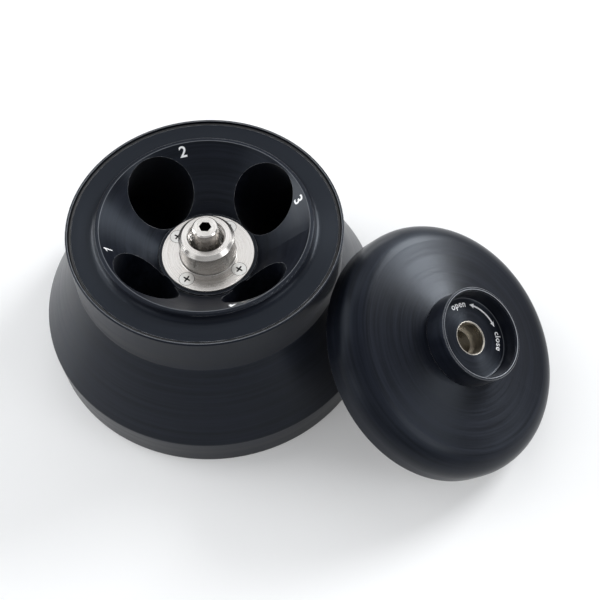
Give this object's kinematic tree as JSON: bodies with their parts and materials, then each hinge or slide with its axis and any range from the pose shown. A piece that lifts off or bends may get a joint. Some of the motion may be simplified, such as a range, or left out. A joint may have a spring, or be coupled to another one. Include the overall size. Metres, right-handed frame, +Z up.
{
  "type": "fixed angle rotor",
  "caption": "Fixed angle centrifuge rotor in black anodised aluminium with slanted blind tube bores, a steel hub collar and a captive fixing screw; its turned screw-on lid leans beside it.",
  "frame": {"origin": "on the rotor's axis, in the plane of its foot", "axes": "+Z up along the rotor's axis, +X towards the side where the lid leans, four tube bores at 45, 135, 225 and 315 degrees from +X"},
  "size_m": [0.2926, 0.2062, 0.0956],
  "materials": {
    "rotor_anodised": "satin black hard anodised, turned",
    "lid_anodised": "satin black hard anodised, turned",
    "knob_anodised": "satin black anodised, fine turned",
    "collar_steel": "satin stainless steel, turned",
    "fixing_steel": "satin stainless steel, turned",
    "sleeve_steel": "satin stainless steel, turned",
    "hub_steel": "turned steel",
    "fastener_steel": "bright stainless steel",
    "spring_steel": "blackened spring steel",
    "seal_rubber": "matt rubber, lightly greased",
    "washer_polymer": "natural polymer"
  },
  "bodies": {
    "rotor": {"rotor_body": "rotor_anodised", "rim_seal_ring": "seal_rubber", "hub_collar": "collar_steel", "flange_screws": "fastener_steel", "flange_seal_ring": "seal_rubber", "drive_hub": "hub_steel", "drive_hub_screws": "fastener_steel", "drive_pins": "hub_steel", "lid_shell": "lid_anodised", "knob_slide_washer": "washer_polymer", "lid_thrust_washer": "washer_polymer", "sleeve_seal_ring": "seal_rubber"},
    "screw_lift": {"screw_washer": "fastener_steel"},
    "fixing_screw": {"fixing_screw": "fixing_steel", "screw_retaining_ring": "spring_steel"},
    "lid_lock": {"lid_knob": "knob_anodised", "lock_sleeve": "sleeve_steel", "knob_screws": "fastener_steel", "sleeve_circlip": "spring_steel", "collar_seal_ring": "seal_rubber"}
  },
  "joints": [
    {"name": "fixing_screw_lift", "type": "slide", "parent": "rotor", "child": "screw_lift", "axis": [0, 0, 1], "range_m": [0, 0.0055]},
    {"name": "fixing_screw_turn", "type": "hinge", "parent": "screw_lift", "child": "fixing_screw", "pos_m": [0, 0, 0.0675], "axis": [0, 0, 1], "continuous": true},
    {"name": "lid_lock_turn", "type": "hinge", "parent": "rotor", "child": "lid_lock", "pos_m": [0.12914, -0.03825, 0.0371], "axis": [0.5053, -0.1497, 0.8499], "continuous": true}
  ]
}
